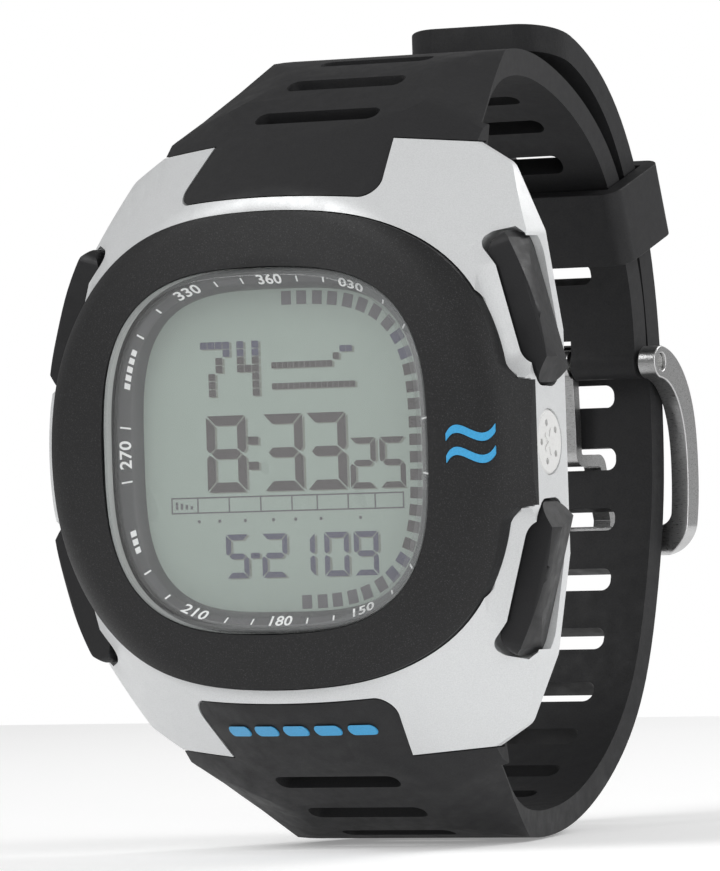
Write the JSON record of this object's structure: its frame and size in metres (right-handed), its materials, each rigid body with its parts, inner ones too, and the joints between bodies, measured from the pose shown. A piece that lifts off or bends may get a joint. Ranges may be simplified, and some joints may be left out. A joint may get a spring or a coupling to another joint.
{
  "type": "dive computer",
  "caption": "Wrist-worn digital dive computer: rounded-square case with side buttons, depth sensor and LCD, on a slotted rubber strap closed by a pin buckle.",
  "frame": {"origin": "centre of the case back's outer face", "axes": "+Z towards 12 o'clock, +X towards 3 o'clock, +Y out of the case back towards the wrist; the dial looks along -Y"},
  "size_m": [0.0502, 0.0645, 0.0736],
  "materials": {
    "silver_shell": "satin silver paint, fine grain",
    "black_bezel": "matte, fine speckle",
    "emblem_print": "satin blue fill",
    "crystal_glass": "polished mineral glass",
    "gasket_rubber": "smooth",
    "dial_ring_paint": "satin dark grey",
    "lcd_glass": "grey-green display",
    "backlight_film": "diffusing film",
    "module_plastic": "moulded",
    "board_green": "solder mask",
    "chip_plastic": "moulded epoxy",
    "spring_steel": "bright",
    "cell_steel": "bright",
    "brass_disc": "bright",
    "steel_back": "brushed",
    "screw_steel": "turned",
    "sensor_plastic": "satin white",
    "sensor_steel": "turned",
    "lead_film": "polyimide film",
    "strap_rubber": "matte, fine grain",
    "accent_print": "printed blue",
    "buckle_steel": "satin",
    "button_plastic": "matte, fine grain"
  },
  "bodies": {
    "watch": {"backlight_panel": "backlight_film", "battery": "cell_steel", "battery_clip": "spring_steel", "bezel": "black_bezel", "bezel_emblem": "emblem_print", "board_parts": "chip_plastic", "buckle_pin": "screw_steel", "button_seals": "gasket_rubber", "button_spring_left_lower": "spring_steel", "button_spring_left_upper": "spring_steel", "button_spring_right_lower": "spring_steel", "button_spring_right_upper": "spring_steel", "case_back": "steel_back", "case_back_gasket": "gasket_rubber", "case_back_screws": "screw_steel", "case_shell": "silver_shell", "circuit_board": "board_green", "crystal": "crystal_glass", "crystal_gasket": "gasket_rubber", "dial_ring": "dial_ring_paint", "lcd_connector_strips": "gasket_rubber", "lcd_panel": "lcd_glass", "lug_pin_lower": "screw_steel", "lug_pin_upper": "screw_steel", "module_frame": "module_plastic", "piezo_buzzer": "brass_disc", "pressure_sensor": "sensor_steel", "sensor_cover": "sensor_plastic", "sensor_gasket": "gasket_rubber", "sensor_lead": "lead_film", "strap_accent": "accent_print", "strap_lower": "strap_rubber", "strap_upper": "strap_rubber", "switch_leaves": "spring_steel"},
    "button_right_upper": {"button_cap_right_upper": "button_plastic", "button_stem_right_upper": "screw_steel", "button_clip_right_upper": "spring_steel"},
    "button_right_lower": {"button_cap_right_lower": "button_plastic", "button_stem_right_lower": "screw_steel", "button_clip_right_lower": "spring_steel"},
    "button_left_upper": {"button_cap_left_upper": "button_plastic", "button_stem_left_upper": "screw_steel", "button_clip_left_upper": "spring_steel"},
    "button_left_lower": {"button_cap_left_lower": "button_plastic", "button_stem_left_lower": "screw_steel", "button_clip_left_lower": "spring_steel"},
    "buckle_frame": {"buckle_frame": "buckle_steel"},
    "buckle_tongue": {"buckle_tongue": "buckle_steel"},
    "keeper": {"strap_keeper": "strap_rubber"}
  },
  "joints": [
    {"name": "button_right_upper_press", "type": "slide", "parent": "watch", "child": "button_right_upper", "axis": [-0.9617, 0, -0.274], "range_m": [0, 0.0008], "stiffness_N_per_m": 900, "springref_m": -0.001, "deforming": ["button_spring_right_upper"]},
    {"name": "button_right_lower_press", "type": "slide", "parent": "watch", "child": "button_right_lower", "axis": [-0.9617, 0, 0.274], "range_m": [0, 0.0008], "stiffness_N_per_m": 900, "springref_m": -0.001, "deforming": ["button_spring_right_lower"]},
    {"name": "button_left_upper_press", "type": "slide", "parent": "watch", "child": "button_left_upper", "axis": [0.9617, 0, -0.274], "range_m": [0, 0.0008], "stiffness_N_per_m": 900, "springref_m": -0.001, "deforming": ["button_spring_left_upper"]},
    {"name": "button_left_lower_press", "type": "slide", "parent": "watch", "child": "button_left_lower", "axis": [0.9617, 0, 0.274], "range_m": [0, 0.0008], "stiffness_N_per_m": 900, "springref_m": -0.001, "deforming": ["button_spring_left_lower"]},
    {"name": "buckle_frame_pivot", "type": "hinge", "parent": "watch", "child": "buckle_frame", "pos_m": [0, 0.0434, 0.0072], "axis": [1, 0, 0], "range_deg": [-1, 2.5]},
    {"name": "buckle_tongue_pivot", "type": "hinge", "parent": "watch", "child": "buckle_tongue", "pos_m": [0, 0.0434, 0.0072], "axis": [1, 0, 0], "range_deg": [-1, 2.5]},
    {"name": "keeper_slide", "type": "slide", "parent": "watch", "child": "keeper", "axis": [0, -0.3293, 0.9442], "range_m": [-0.0015, 0.0015]}
  ],
  "couplings": [
    {"joint": "buckle_tongue_pivot", "follows": "buckle_frame_pivot", "ratio": 1}
  ]
}
